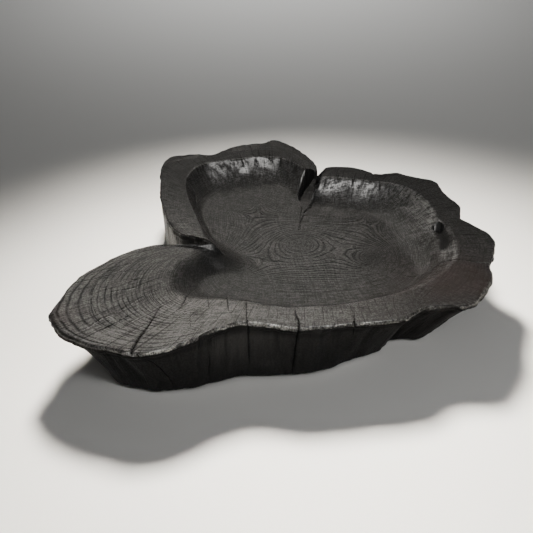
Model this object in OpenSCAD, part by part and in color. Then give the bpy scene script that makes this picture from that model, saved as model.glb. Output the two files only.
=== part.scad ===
// Carved bowl, cut in one piece from a thick slice of a lobed tree trunk.
// It is low and wide: a long leaf-shaped lobe, two rounded lobes with a cleft between them,
// and a broad lobe with a knot hole. It stands on felt pads glued under its flat base.
// Millimetres, +Z up. The origin is on the table, under the middle of the bowl's outline.

/* [Overall] */
// Length of the outline, from the tip of the leaf to the broad lobe
bowl_l = 602; // [480:1:760]
// Width of the outline, across the grain of the slice
bowl_w = 546; // [430:1:680]
// Thickness of the slice, from its flat base to the highest point of the rim
slab_t = 85; // [68:1:110]

/* [Hollow] */
// Depth of the hollow at its middle, below the highest point of the rim
hollow_depth = 41; // [20:1:50]
// Rise of the hollow's floor from its middle to the foot of its wall
floor_rise = 5; // [0:1:10]
// Least width of the rim left between the hollow and the outside
rim_min = 9; // [6:1:20]

/* [Edges] */
// Rounding of the rim's outer edge
edge_round = 3; // [1:0.5:6]
// Height of the upright band below the rim, before the side leans in
edge_band = 9; // [7:1:14]
// Rounding of the base's lower edge
base_round = 6; // [2:1:10]

/* [Natural voids] */
// Wood left under the cleft between the two back lobes
cleft_bottom_t = 14; // [8:1:24]
// Wood left under the knot hole
knot_bottom_t = 22; // [10:1:28]

/* [Felt pads] */
// Diameter of a felt pad
pad_d = 30; // [18:1:38]
// Thickness of a felt pad
pad_t = 3; // [2:0.5:5]
// Flat wood left between a pad and the rounded edge of the base
pad_margin = 8; // [2:1:16]

/* [Hidden] */

// Where each pad sits: its node's name and its bearing from the carving centre, in degrees.
PADS = [
    ["felt_pad_leaf", 222],
    ["felt_pad_back_left", 122],
    ["felt_pad_back_right", 38],
    ["felt_pad_right", 345],
    ["felt_pad_front", 276]
];

// The rim's outline as carved, anticlockwise round the carving centre, before it is scaled.
RIM = [
    [309, 8], [307, 24], [300, 38], [284, 56], [270, 72], [271, 90], [273, 106], [265, 124],
    [254, 150], [246, 178], [226, 187], [206, 197], [190, 206], [172, 203], [156, 203], [146, 211],
    [120, 226], [86, 227], [75, 218], [66, 199], [67, 217], [63, 239], [49, 265], [34, 286],
    [18, 302], [4, 311], [-9, 311], [-19, 302], [-42, 298], [-68, 288], [-86, 274], [-104, 262],
    [-125, 264], [-146, 261], [-165, 256], [-177, 240], [-181, 215], [-178, 190], [-177, 164],
    [-174, 135], [-167, 106], [-163, 84], [-156, 62], [-147, 44], [-136, 33], [-122, 28],
    [-107, 22], [-96, 14], [-111, 10], [-131, 10], [-156, 11], [-180, 6], [-203, -6], [-226, -24],
    [-244, -42], [-258, -58], [-269, -74], [-277, -93], [-284, -116], [-290, -136], [-293, -154],
    [-287, -168], [-278, -182], [-267, -196], [-254, -204], [-236, -214], [-217, -220],
    [-195, -227], [-175, -234], [-155, -231], [-137, -226], [-119, -216], [-102, -206],
    [-84, -192], [-65, -182], [-47, -175], [-28, -175], [-3, -180], [22, -185], [41, -183],
    [66, -180], [92, -175], [130, -171], [152, -166], [167, -160], [179, -149], [191, -140],
    [207, -137], [225, -136], [238, -138], [250, -133], [262, -123], [275, -102], [290, -74],
    [291, -46], [299, -27], [303, -12]
];

// Bearing in degrees, and distance from the carving centre to the hollow's lip.
LIP = [
    [0, 254], [6, 252], [12, 249], [18, 243], [25, 256], [34, 260], [42, 256], [48, 243],
    [54, 227], [61, 221], [68, 214], [73, 204], [79, 226], [84, 250], [91, 261], [104, 258],
    [111, 258], [117, 264], [123, 248], [128, 225], [133, 195], [138, 167], [145, 140],
    [153, 118], [163, 98], [171, 86], [178, 107], [188, 134], [197, 156], [206, 173], [213, 177],
    [223, 162], [230, 147], [240, 136], [252, 132], [266, 137], [281, 142], [292, 145],
    [306, 161], [320, 180], [331, 202], [343, 227], [350, 241], [355, 252], [360, 254]
];

// Bearing, and how far the hollow's wall runs inwards from its lip to its foot.
WALL_RUN = [
    [0, 24], [15, 22], [45, 22], [72, 26], [85, 33], [115, 36], [125, 30], [140, 24], [155, 28],
    [171, 30], [185, 46], [200, 60], [213, 70], [225, 62], [240, 46], [255, 36], [290, 30],
    [330, 28], [360, 24]
];

// Bearing, and how far the rim's outer edge lies below the highest point of the slice.
RIM_DROP = [
    [0, 1], [40, 0], [72, 3], [90, 0], [130, 0], [165, 2], [175, 5], [190, 4], [210, 4],
    [228, 3], [248, 0], [285, 2], [330, 3], [360, 1]
];

// Bearing, and how far the hollow's lip lies below the rim's outer edge.
LIP_DROP = [
    [0, 3], [60, 3], [150, 3], [165, 9], [172, 14], [185, 12], [215, 10], [230, 8], [248, 5],
    [270, 3], [360, 3]
];

// Bearing, and how far the base's edge lies inside the rim. It is below 0 where the side flares out.
BASE_INSET = [
    [0, 40], [12, 30], [26, 26], [44, 20], [60, 12], [66, 3], [71, 0], [76, 3], [82, 14],
    [90, 20], [108, 15], [123, 18], [137, 10], [150, 5], [171, 4], [175, 10], [179, 30],
    [186, 40], [195, 52], [205, 66], [212, 66], [218, 48], [225, 27], [232, 29], [238, 20],
    [244, 0], [247, -9], [252, -11], [262, -7], [275, 3], [288, 7], [293, 10], [300, 20],
    [307, 31], [316, 40], [324, 46], [329, 56], [335, 62], [346, 50], [360, 40]
];

// Outline of the cleft between the back lobes, a void that narrows to a crack at its inner end.
CLEFT = [
    [37, 171], [35, 188], [38, 204], [44, 216], [51, 216], [56, 207], [52, 202], [46, 196],
    [41, 186]
];

// Outline of the knot hole in the hollow's wall in the broad lobe.
KNOT = [[241, 57], [240, 64], [234, 67], [228, 64], [228, 57], [235, 52]];

curve_steps = 2;  // spans that the outline is drawn with between two of its points
floor_rings = 4;  // rings of facets across the hollow's floor
wall_rings = 5;   // rings up the hollow's wall
band_rings = 2;   // rings across the rim
side_rings = 4;   // rings down the outside
blend_angle = 4;  // bearing over which neighbouring stations are blended
pad_facets = 64;  // facets round a felt pad in a preview

base_z = pad_t;
top_z = base_z + slab_t;
floor_z = top_z - hollow_depth;

function wrapped(list, i) = list[(i + len(list)) % len(list)];

// A point on the smooth curve between b and c, with a and d the points on either side.
function spline(a, b, c, d, t) =
    0.5 * (2 * b + (c - a) * t + (2 * a - 5 * b + 4 * c - d) * t * t
        + (3 * b - a - 3 * c + d) * t * t * t);

// A closed smooth curve through all the points.
function closed_curve(points, steps) = [
    for (i = [0 : len(points) - 1])
        for (s = [0 : steps - 1])
            spline(wrapped(points, i - 1), points[i], wrapped(points, i + 1),
                wrapped(points, i + 2), s / steps)
];

function bearing(p) = (atan2(p[1], p[0]) + 360) % 360;

// A station list read at any bearing, and the same blended with its neighbours.
function station(list, a) = lookup((a + 360) % 360, list);
function blended(list, a) =
    (station(list, a - blend_angle) + 2 * station(list, a) + station(list, a + blend_angle)) / 4;

function smooth(t) = t * t * (3 - 2 * t);

rim_curve = closed_curve(RIM, curve_steps);
rim_polar = [for (p = rim_curve) [bearing(p), norm(p)]];
x_low = min([for (p = rim_curve) p[0]]);
x_high = max([for (p = rim_curve) p[0]]);
y_low = min([for (p = rim_curve) p[1]]);
y_high = max([for (p = rim_curve) p[1]]);
x_scale = bowl_l / (x_high - x_low);
y_scale = bowl_w / (y_high - y_low);

// From the carving frame to the bowl's own frame, whose origin is under the outline's middle.
function placed(p) = [
    (p[0] - (x_low + x_high) / 2) * x_scale,
    (p[1] - (y_low + y_high) / 2) * y_scale
];

function rim_z(a) = top_z - blended(RIM_DROP, a);

// The section through the bowl at bearing a, from the hollow's middle over the rim to the base:
// each entry is a distance from the carving centre and a height.
function section(a, rim_r) =
    let (
        lip_r = min(blended(LIP, a), rim_r - rim_min),
        foot_r = lip_r - blended(WALL_RUN, a),
        foot_z = floor_z + floor_rise,
        crest_z = rim_z(a),
        lip_z = crest_z - blended(LIP_DROP, a),
        base_r = rim_r - station(BASE_INSET, a),
        band_z = crest_z - edge_band,
        side_end_z = base_z + base_round
    )
    concat(
        [for (i = [1 : floor_rings]) let (t = i / floor_rings)
            [foot_r * t, floor_z + floor_rise * t * t]],
        [for (i = [1 : wall_rings]) let (t = i / wall_rings)
            [foot_r + (lip_r - foot_r) * t, foot_z + (lip_z - foot_z) * smooth(t)]],
        [for (i = [1 : band_rings]) let (t = i / band_rings)
            [lip_r + (rim_r - edge_round - lip_r) * t, lip_z + (crest_z - lip_z) * t]],
        [[rim_r, crest_z - edge_round]],
        [for (i = [0 : side_rings]) let (t = i / side_rings)
            [rim_r + (base_r - rim_r) * t, band_z + (side_end_z - band_z) * t]],
        [[base_r - base_round, base_z]]
    );

columns = len(rim_curve);
sections = [for (p = rim_curve) section(bearing(p), norm(p))];
rings = len(sections[0]);

function ring_point(ring, column) =
    let (
        a = bearing(rim_curve[column]),
        r = sections[column][ring][0],
        p = placed([r * cos(a), r * sin(a)])
    )
    [p[0], p[1], sections[column][ring][1]];

module carved_slice() {
    middle = placed([0, 0]);
    points = concat(
        [[middle[0], middle[1], floor_z]],
        [for (ring = [0 : rings - 1]) for (column = [0 : columns - 1]) ring_point(ring, column)],
        [[middle[0], middle[1], base_z]]
    );
    last = len(points) - 1;
    faces = concat(
        [for (c = [0 : columns - 1]) [0, 1 + (c + 1) % columns, 1 + c]],
        [for (k = [0 : rings - 2]) for (c = [0 : columns - 1])
            let (a = 1 + k * columns + c, b = 1 + k * columns + (c + 1) % columns)
            [a, b, b + columns]],
        [for (k = [0 : rings - 2]) for (c = [0 : columns - 1])
            let (a = 1 + k * columns + c, b = 1 + k * columns + (c + 1) % columns)
            [a, b + columns, a + columns]],
        [for (c = [0 : columns - 1])
            let (a = 1 + (rings - 1) * columns + c, b = 1 + (rings - 1) * columns + (c + 1) % columns)
            [last, a, b]]
    );
    polyhedron(points = points, faces = faces);
}

// A natural void: an upright shaft with a smooth outline, open at the top.
module void_shaft(outline, bottom_t) {
    translate([0, 0, base_z + bottom_t])
        linear_extrude(height = top_z)
            polygon([for (p = closed_curve(outline, curve_steps)) placed(p)]);
}

module bowl() {
    color([0.09, 0.085, 0.08])
        difference() {
            carved_slice();
            void_shaft(CLEFT, cleft_bottom_t);
            void_shaft(KNOT, knot_bottom_t);
        }
}

// A felt disc under the base, set in from the base's edge at its bearing.
module felt_pad(a) {
    edge_r = lookup(a, rim_polar) - station(BASE_INSET, a);
    middle = placed([0, 0]);
    way = placed([edge_r * cos(a), edge_r * sin(a)]) - middle;
    reach = norm(way) - base_round - pad_margin - pad_d / 2;
    place = middle + way * reach / norm(way);
    color([0.16, 0.15, 0.14])
        translate([place[0], place[1], 0])
            cylinder(d = pad_d, h = pad_t, $fn = pad_facets);
}

bowl();
for (pad = PADS)
    felt_pad(pad[1]);
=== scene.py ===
# %% [markdown]
# # A charred bowl carved from one slice of a trunk
# The bowl is a single piece of wood: a slice of a lobed trunk, hollowed by hand, charred black
# and rubbed with wax. The frame, the bowl's box and the boxes of its felt pads come from the
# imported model. Everything here is made to them, and each mesh is written in metres in its place.

# %% Load the frame
import math

import bpy
import numpy as np
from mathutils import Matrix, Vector


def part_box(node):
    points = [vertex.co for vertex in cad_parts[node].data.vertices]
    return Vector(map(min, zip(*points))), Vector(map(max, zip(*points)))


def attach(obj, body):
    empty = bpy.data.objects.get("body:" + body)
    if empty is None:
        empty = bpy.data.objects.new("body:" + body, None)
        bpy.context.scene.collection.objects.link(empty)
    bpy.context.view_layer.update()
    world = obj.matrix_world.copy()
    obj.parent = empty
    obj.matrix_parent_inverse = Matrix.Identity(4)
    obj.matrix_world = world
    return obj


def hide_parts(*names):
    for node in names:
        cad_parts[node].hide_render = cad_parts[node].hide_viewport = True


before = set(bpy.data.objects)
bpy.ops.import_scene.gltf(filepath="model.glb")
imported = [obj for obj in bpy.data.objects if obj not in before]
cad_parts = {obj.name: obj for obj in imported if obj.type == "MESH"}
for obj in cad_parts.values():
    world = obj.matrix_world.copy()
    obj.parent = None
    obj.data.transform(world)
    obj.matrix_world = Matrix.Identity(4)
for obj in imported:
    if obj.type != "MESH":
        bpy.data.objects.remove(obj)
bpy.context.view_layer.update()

# %% [markdown]
# ## The view
# The bowl is looked down on from the front, about 35 degrees above the table, with a long lens
# that keeps the far rim and the near rim to nearly the same scale. The aim is a little left of
# and in front of the middle, so the leaf-shaped lobe has room for its shadow.

# %% Camera
VIEW_ELEVATION = math.radians(35)
VIEW_DISTANCE = 1.48
VIEW_AIM = Vector((-0.0213, -0.030, 0.045))
LENS, SENSOR_WIDTH = 70, 36

camera = bpy.data.objects.new("camera", bpy.data.cameras.new("camera"))
camera.data.lens = LENS
camera.data.sensor_width = SENSOR_WIDTH
view_back = Vector((0, -math.cos(VIEW_ELEVATION), math.sin(VIEW_ELEVATION)))
camera.location = VIEW_AIM + view_back * VIEW_DISTANCE
camera.rotation_euler = view_back.to_track_quat("Z", "Y").to_euler()
bpy.context.scene.collection.objects.link(camera)
bpy.context.scene.camera = camera
print("camera at", [round(v, 3) for v in camera.location])

# %% [markdown]
# ## Shader sums as Python sums
# A procedural finish is mostly arithmetic on a few numbers that vary over the surface. Wiring
# Math nodes by hand hides that arithmetic, so a number in a shader is wrapped in a small class
# whose operators add the Math nodes. Any other node comes from one method of the material.


# %% A number in a shader, and a material
class Value:
    """A number that varies over a surface. Python's operators on it add Math nodes."""

    def __init__(self, material, socket):
        self.material = material
        self.socket = socket

    def math(self, operation, *terms):
        inputs = dict(enumerate(terms))
        return self.material.node("ShaderNodeMath", {"operation": operation}, inputs)

    def __add__(self, other):
        return self.math("ADD", self, other)

    def __radd__(self, other):
        return self.math("ADD", other, self)

    def __sub__(self, other):
        return self.math("SUBTRACT", self, other)

    def __rsub__(self, other):
        return self.math("SUBTRACT", other, self)

    def __mul__(self, other):
        return self.math("MULTIPLY", self, other)

    def __rmul__(self, other):
        return self.math("MULTIPLY", other, self)

    def __truediv__(self, other):
        return self.math("DIVIDE", self, other)

    def fraction(self):
        return self.math("FRACT", self)

    def size(self):
        return self.math("ABSOLUTE", self)

    def above(self, other):
        """The greater of the two numbers."""
        return self.math("MAXIMUM", self, other)

    def clamp(self):
        return self.material.node("ShaderNodeClamp", {}, {"Value": self})

    def step(self, low, high):
        """0 below low, 1 above high, smooth between them."""
        settings = {"interpolation_type": "SMOOTHSTEP"}
        inputs = {"Value": self, "From Min": low, "From Max": high}
        return self.material.node("ShaderNodeMapRange", settings, inputs)


class Finish:
    """A material made of one Principled shader. Its nodes are added by node()."""

    def __init__(self, name):
        self.data = bpy.data.materials.new(name)
        self.data.use_nodes = True
        self.tree = self.data.node_tree
        self.shader = self.tree.nodes["Principled BSDF"]

    def feed(self, node, key, value):
        target = node.inputs[key]
        if isinstance(value, Value):
            self.tree.links.new(value.socket, target)
        else:
            target.default_value = value

    def node(self, kind, settings=None, inputs=None, output=0):
        """Adds a node: settings first, then the values or links of its sockets."""
        made = self.tree.nodes.new(kind)
        for name, value in (settings or {}).items():
            setattr(made, name, value)
        for key, value in (inputs or {}).items():
            self.feed(made, key, value)
        return Value(self, made.outputs[output])

    def measure(self, name):
        """A number kept on the piece's vertices under that name."""
        return self.node("ShaderNodeAttribute", {"attribute_name": name}, {}, "Fac")

    def vector(self, x, y, z=0.0):
        return self.node("ShaderNodeCombineXYZ", {}, {"X": x, "Y": y, "Z": z})

    def noise(self, place, scale, detail=2.0, roughness=0.5, distortion=0.0):
        inputs = {"Vector": place, "Scale": scale, "Detail": detail}
        inputs.update({"Roughness": roughness, "Distortion": distortion})
        return self.node("ShaderNodeTexNoise", {}, inputs)

    def mix(self, share, first, second):
        """The first colour where share is 0, the second where it is 1."""
        settings = {"data_type": "RGBA"}
        return self.node("ShaderNodeMix", settings, {0: share, 6: first, 7: second}, 2)

    def bump(self, height, strength, distance):
        """A normal tilted by a height that varies over the surface, in metres."""
        inputs = {"Strength": strength, "Distance": distance, "Height": height}
        return self.node("ShaderNodeBump", {}, inputs, "Normal")

    def set(self, **sockets):
        """Sets the shader's sockets: Base_Color is the socket named Base Color."""
        for name, value in sockets.items():
            self.feed(self.shader, name.replace("_", " "), value)


print("shader helpers ready")

# %% [markdown]
# ## The carving's own frame
# The carver works from the middle of the trunk outwards, so every size here is a distance from
# a carving centre at a bearing: the rim's outline, the lip of the hollow, the foot of its wall,
# and the edge of the base, in millimetres. The rim, the lip's place and the base are the packed
# solid's, read here with smoother curves. The wall takes more of the plan to climb than the
# solid's and its lip is shallower beside the notch, because a gouge rolls over into the floor
# with no edge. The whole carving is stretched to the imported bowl's box at the end.

# %% The outline and the stations
# x and y of the rim, anticlockwise from the right.
RIM = [
    [309, 8], [307, 24], [300, 38], [284, 56], [270, 72], [271, 90], [273, 106], [265, 124],
    [254, 150], [246, 178], [226, 187], [206, 197], [190, 206], [172, 203], [156, 203], [146, 211],
    [120, 226], [86, 227], [75, 218], [66, 199], [67, 217], [63, 239], [49, 265], [34, 286],
    [18, 302], [4, 311], [-9, 311], [-19, 302], [-42, 298], [-68, 288], [-86, 274], [-104, 262],
    [-125, 264], [-146, 261], [-165, 256], [-177, 240], [-181, 215], [-178, 190], [-177, 164],
    [-174, 135], [-167, 106], [-163, 84], [-156, 62], [-147, 44], [-136, 33], [-122, 28],
    [-107, 22], [-96, 14], [-111, 10], [-131, 10], [-156, 11], [-180, 6], [-203, -6], [-226, -24],
    [-244, -42], [-258, -58], [-269, -74], [-277, -93], [-284, -116], [-290, -136], [-293, -154],
    [-287, -168], [-278, -182], [-267, -196], [-254, -204], [-236, -214], [-217, -220],
    [-195, -227], [-175, -234], [-155, -231], [-137, -226], [-119, -216], [-102, -206],
    [-84, -192], [-65, -182], [-47, -175], [-28, -175], [-3, -180], [22, -185], [41, -183],
    [66, -180], [92, -175], [130, -171], [152, -166], [167, -160], [179, -149], [191, -140],
    [207, -137], [225, -136], [238, -138], [250, -133], [262, -123], [275, -102], [290, -74],
    [291, -46], [299, -27], [303, -12]
]
# Each table below gives a bearing and a size. LIP is the distance out to the hollow's lip.
LIP = [
    [0, 254], [6, 252], [12, 249], [18, 243], [25, 256], [34, 260], [42, 256], [48, 243],
    [54, 227], [61, 221], [68, 214], [73, 204], [79, 226], [84, 250], [91, 261], [104, 258],
    [111, 258], [117, 264], [123, 248], [128, 225], [133, 195], [138, 167], [145, 140],
    [153, 118], [163, 98], [171, 86], [178, 107], [188, 134], [197, 156], [206, 173], [213, 177],
    [223, 162], [230, 147], [240, 136], [252, 132], [266, 137], [281, 142], [292, 145],
    [306, 161], [320, 180], [331, 202], [343, 227], [350, 241], [355, 252], [360, 254]
]
# How far inside the lip the foot of the wall lies.
WALL_RUN = [
    [0, 58], [15, 66], [35, 62], [50, 56], [66, 50], [78, 50], [90, 56], [112, 56], [125, 46],
    [145, 35], [153, 35], [163, 38], [171, 44], [178, 56], [188, 58], [197, 62], [206, 63],
    [213, 65], [225, 60], [240, 48], [255, 40], [290, 40], [320, 44], [340, 50], [360, 58]
]
# How far the rim's outer edge lies below the top of the slab.
RIM_DROP = [
    [0, 1], [40, 0], [72, 3], [90, 0], [130, 0], [165, 2], [175, 5], [190, 4], [210, 4],
    [228, 3], [248, 0], [285, 2], [330, 3], [360, 1]
]
# How far the lip lies below the rim's outer edge.
LIP_DROP = [
    [0, 3], [60, 3], [150, 3], [165, 4], [172, 4], [185, 6], [200, 9], [215, 10], [230, 8],
    [248, 5], [270, 3], [360, 3]
]
# How far the base's edge lies inside the rim. Below 0 the side flares out.
BASE_INSET = [
    [0, 40], [12, 30], [26, 26], [44, 20], [60, 12], [66, 3], [71, 0], [76, 3], [82, 14],
    [90, 20], [108, 15], [123, 18], [137, 10], [150, 5], [171, 4], [175, 10], [179, 30],
    [186, 40], [195, 52], [205, 66], [212, 66], [218, 48], [225, 27], [232, 29], [238, 20],
    [244, 0], [247, -9], [252, -11], [262, -7], [275, 3], [288, 7], [293, 10], [300, 20],
    [307, 31], [316, 40], [324, 46], [329, 56], [335, 62], [346, 50], [360, 40]
]
# How sharply the hollow's wall meets the rim: 0 rolls over softly, 1 is a crisp arris.
LIP_SHARP = [
    [0, 0.4], [60, 0.9], [120, 0.9], [150, 0.6], [175, 0.1], [220, 0.0], [240, 0.05],
    [270, 0.1], [335, 0.15], [360, 0.4]
]

# Degrees on each side that a station is blended over.
SPREAD, NARROW_SPREAD, LIP_SPREAD, SHARP_SPREAD = 4.0, 2.0, 5.5, 8.0

EDGE_ROUND = 3.0
EDGE_BAND = 9.0
BASE_ROUND = 6.0
RIM_MIN = 9.0
FLOOR_RISE = 5.0
RIM_STEPS, HOLE_STEPS = 24, 4

bowl_low, bowl_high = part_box("bowl")
BASE_Z = bowl_low.z * 1000
TOP_Z = bowl_high.z * 1000
HOLLOW_DEPTH = 41.0
FLOOR_Z = TOP_Z - HOLLOW_DEPTH
print("slab from", round(BASE_Z, 1), "to", round(TOP_Z, 1), "mm")


# %% Curves and lookups
def closed_curve(points, steps):
    """A Catmull-Rom curve through a closed ring of points, with so many steps to a span."""
    b = np.asarray(points, float)
    a, c, d = np.roll(b, 1, 0), np.roll(b, -1, 0), np.roll(b, -2, 0)
    t = (np.arange(steps) / steps)[None, :, None]
    a, b, c, d = (p[:, None, :] for p in (a, b, c, d))
    curve = 2 * b + (c - a) * t + (2 * a - 5 * b + 4 * c - d) * t**2
    curve = curve + (3 * b - a - 3 * c + d) * t**3
    return 0.5 * curve.reshape(-1, 2)


def smooth(t):
    """Rises from 0 to 1 as t does, level at both ends."""
    t = np.clip(t, 0, 1)
    return t * t * (3 - 2 * t)


def bearing(x, y):
    """Degrees round the carving centre, from 0 to 360."""
    return np.degrees(np.arctan2(y, x)) % 360


def polar(r, a):
    """x and y of a distance from the carving centre at a bearing."""
    return r * np.cos(np.radians(a)), r * np.sin(np.radians(a))


def station(table, a, spread=SPREAD):
    """A station table read at bearing a, blended over the bearings close by."""
    keys, values = np.array(table, float).T
    shifts = np.array([-1.5, -1, -0.5, 0, 0.5, 1, 1.5]) * spread
    weights = np.exp(-((shifts / spread) ** 2))
    total = sum(w * np.interp((a + s) % 360, keys, values) for w, s in zip(weights, shifts))
    return total / weights.sum()


rim_curve = closed_curve(RIM, RIM_STEPS)
rim_low, rim_high = rim_curve.min(0), rim_curve.max(0)
rim_bearing = np.degrees(np.unwrap(np.arctan2(rim_curve[:, 1], rim_curve[:, 0])))
rim_bearing = np.append(rim_bearing, rim_bearing[0] + 360)
rim_radius = np.hypot(*rim_curve.T)
rim_radius = np.append(rim_radius, rim_radius[0])
rim_steps = np.hypot(*(np.roll(rim_curve, -1, 0) - rim_curve).T)
rim_run = np.concatenate([[0], np.cumsum(rim_steps)])
RIM_LENGTH = rim_run[-1]


def rim_at(run):
    """Bearing of the rim at a distance along it from its first point."""
    turns = np.floor(run / RIM_LENGTH)
    return np.interp(run - turns * RIM_LENGTH, rim_run, rim_bearing) + 360 * turns


def past_first(a):
    """A bearing, brought into the whole turn that starts at the rim's first point."""
    return (np.asarray(a) - rim_bearing[0]) % 360 + rim_bearing[0]


def run_of(a):
    """Distance along the rim at bearing a."""
    return np.interp(past_first(a), rim_bearing, rim_run)


def rim_reach(a):
    """Distance from the carving centre to the rim at bearing a."""
    return np.interp(past_first(a), rim_bearing, rim_radius)


def lip_reach(a):
    """Distance to the hollow's lip at bearing a, always some way inside the rim."""
    return np.minimum(station(LIP, a, LIP_SPREAD), rim_reach(a) - RIM_MIN)


print("rim is", round(RIM_LENGTH), "mm round")

# %% [markdown]
# ## Unevenness
# Nothing on a hand-carved piece is quite flat. A grid of random heights, read between its
# points with a smooth curve, gives a gentle unevenness of any size, and the same one each time
# because its seed is fixed. A single dent or stain is a bell: full in its middle, soft outside.


# %% Smooth noise
def unevenness(x, y, size, seed):
    """Random heights from -1 to 1 on a grid of the given size, blended smoothly between."""
    grid = np.random.default_rng(seed).uniform(-1, 1, (64, 64))
    u, v = np.asarray(x) / size + 17.3, np.asarray(y) / size + 31.7
    i, j = np.floor(u).astype(int), np.floor(v).astype(int)
    s, t = smooth(u - i), smooth(v - j)
    corners = [grid[(i + p) % 64, (j + q) % 64] for p in (0, 1) for q in (0, 1)]
    near = corners[0] * (1 - t) + corners[1] * t
    far = corners[2] * (1 - t) + corners[3] * t
    return near * (1 - s) + far * s


def bell(away, reach):
    """1 at no distance, about a third at reach, and soon 0 beyond it."""
    return np.exp(-((away / reach) ** 2))


def spot(x, y, middle, reach):
    """A bell round one place of the plan."""
    return bell(np.hypot(x - middle[0], y - middle[1]), reach)


print("unevenness ready")

# %% [markdown]
# ## Growth rings
# A lobed trunk has a pith in each lobe. Its rings are circles close to a pith, and further out
# they merge and settle into the outline. That is how the potential round a few charged wires in
# a grounded tube behaves, so the rings are worked out that way: a logarithm for each pith, plus
# a smooth correction that brings the sum to zero along the rim. The correction is relaxed on a
# coarse grid, and the rays that cross the rings come from the bearings round the piths.

# %% Piths and the ring field
PITHS = [
    # x, y, share, bearing of the line that its rays start from
    (-58, 6, 0.27, 170),
    (138, 23, 0.19, 338),
    (152, 135, 0.13, 30),
    (-50, 172, 0.15, 110),
    (34, 62, 0.17, 78),
    (173, -116, 0.055, 300),
    (-131, 89, 0.035, 180),
]
GRID_STEP = 4.0
GRID_MARGIN = 12
RELAX_ROUNDS = 260
OVER_RELAX = 1.93
RING_SPAN = 260.0
RING_POWER = 2.6


def pith_sum(x, y):
    """Sum of each pith's share times the logarithm of the distance to it."""
    return sum(w * np.log(np.hypot(x - px, y - py) + 0.5) for px, py, w, cut in PITHS)


def ring_correction():
    """A grid over the outline, zero net flow in each cell, that cancels pith_sum at the rim."""
    xs = np.arange(rim_low[0] - GRID_MARGIN, rim_high[0] + GRID_MARGIN, GRID_STEP)
    ys = np.arange(rim_low[1] - GRID_MARGIN, rim_high[1] + GRID_MARGIN, GRID_STEP)
    x, y = np.meshgrid(xs, ys, indexing="ij")
    inside = np.hypot(x, y) < rim_reach(bearing(x, y))
    values = -pith_sum(x, y)
    values[inside] = values[~inside].mean()
    checker = (np.add.outer(np.arange(len(xs)), np.arange(len(ys))) % 2).astype(bool)
    for _ in range(RELAX_ROUNDS):
        for colour in (inside & checker, inside & ~checker):
            around = np.roll(values, 1, 0) + np.roll(values, -1, 0)
            around += np.roll(values, 1, 1) + np.roll(values, -1, 1)
            values = np.where(colour, values + OVER_RELAX * (around / 4 - values), values)
    return xs, ys, values


ring_xs, ring_ys, ring_values = ring_correction()


def ring_share(x, y):
    """0 at a pith and 1 at the rim: how far out through the rings a point lies."""
    u = np.clip((x - ring_xs[0]) / GRID_STEP, 0, len(ring_xs) - 1.001)
    v = np.clip((y - ring_ys[0]) / GRID_STEP, 0, len(ring_ys) - 1.001)
    i, j = u.astype(int), v.astype(int)
    s, t = u - i, v - j
    near = ring_values[i, j] * (1 - t) + ring_values[i, j + 1] * t
    far = ring_values[i + 1, j] * (1 - t) + ring_values[i + 1, j + 1] * t
    return np.exp(pith_sum(x, y) + near * (1 - s) + far * s)


print("ring field on a grid of", ring_values.shape)

# %% [markdown]
# ## The carved face
# Seen from above the whole face is a height at each point of the plan: a dished floor, a wall
# that climbs to the lip, a rim that rises to the outside, and a rounded arris. The hollow's
# details are added to that height: the crescent below the knot hole with its thin ridge, the
# ledges that the gouge left on the leaf, and the two voids that the tree made itself.

# %% Heights of the carved face
# Edges of the two holes in x and y, their floors' heights, and the width of their worn edge.
CLEFT = [
    [37, 172], [35, 187], [39, 201], [44, 214], [50, 221], [58, 219], [62, 211], [61, 203],
    [54, 196], [46, 191], [41, 183]
]
KNOT = [[242, 55], [241, 62], [235, 67], [229, 66], [226, 60], [229, 53], [236, 50]]
CLEFT_FLOOR = 20.0
KNOT_FLOOR = 34.0
HOLE_EDGE = 2.4
# The wood between the cleft and the outside is thin and worn down about here: x and y.
SEPTUM = (64.0, 205.0)
SEPTUM_DIP, SEPTUM_REACH = 3.0, 6.0
# The crescent that is cut below the knot hole, the ridge inside it, and the gouge's ledges.
CRESCENT = [[238, 60], [239, 46], [240, 28], [236, 8]]
RIDGE = [[220, 72], [225, 54], [228, 40], [230, 27], [228, 12]]
CRESCENT_DEPTH, CRESCENT_WIDTH = 6.0, 8.0
RIDGE_HEIGHT, RIDGE_WIDTH = 0.8, 5.0
LEDGES = [
    [[-162, -58], [-158, -64], [-147, -75], [-129, -85], [-112, -90]],
    [[-150, -26], [-145, -37], [-132, -45], [-118, -49], [-102, -51]],
]
LEDGE_DROP, LEDGE_REACH, LEDGE_EDGE = 1.3, 14.0, 2.4
# How a crisp wall climbs: slowly at its foot, steeply at the lip.
CRISP_POWER = 1.9
# Unevenness of the lip's line and of the carved face: height, size and seed.
LIP_UNEVEN = (1.3, 11, 13)
FACE_UNEVEN = [(0.7, 46, 3), (0.35, 15, 4)]
# How near the rim that unevenness starts to fade.
CARVED_MARGIN = 12


def nearest(path, x, y):
    """Nearest point of an open path to each place: its x, y, distance, and share along."""
    path = np.asarray(path, float)
    lengths = np.hypot(*np.diff(path, axis=0).T)
    starts = np.concatenate([[0], np.cumsum(lengths)[:-1]])
    best = np.full(np.shape(x), 1e9)
    qx, qy, share = np.zeros_like(best), np.zeros_like(best), np.zeros_like(best)
    for (ax, ay), (bx, by), length, start in zip(path, path[1:], lengths, starts):
        t = np.clip(((x - ax) * (bx - ax) + (y - ay) * (by - ay)) / length**2, 0, 1)
        cx, cy = ax + t * (bx - ax), ay + t * (by - ay)
        away = np.hypot(x - cx, y - cy)
        closer = away < best
        best = np.where(closer, away, best)
        qx, qy = np.where(closer, cx, qx), np.where(closer, cy, qy)
        share = np.where(closer, (start + t * length) / lengths.sum(), share)
    return qx, qy, best, share


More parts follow.
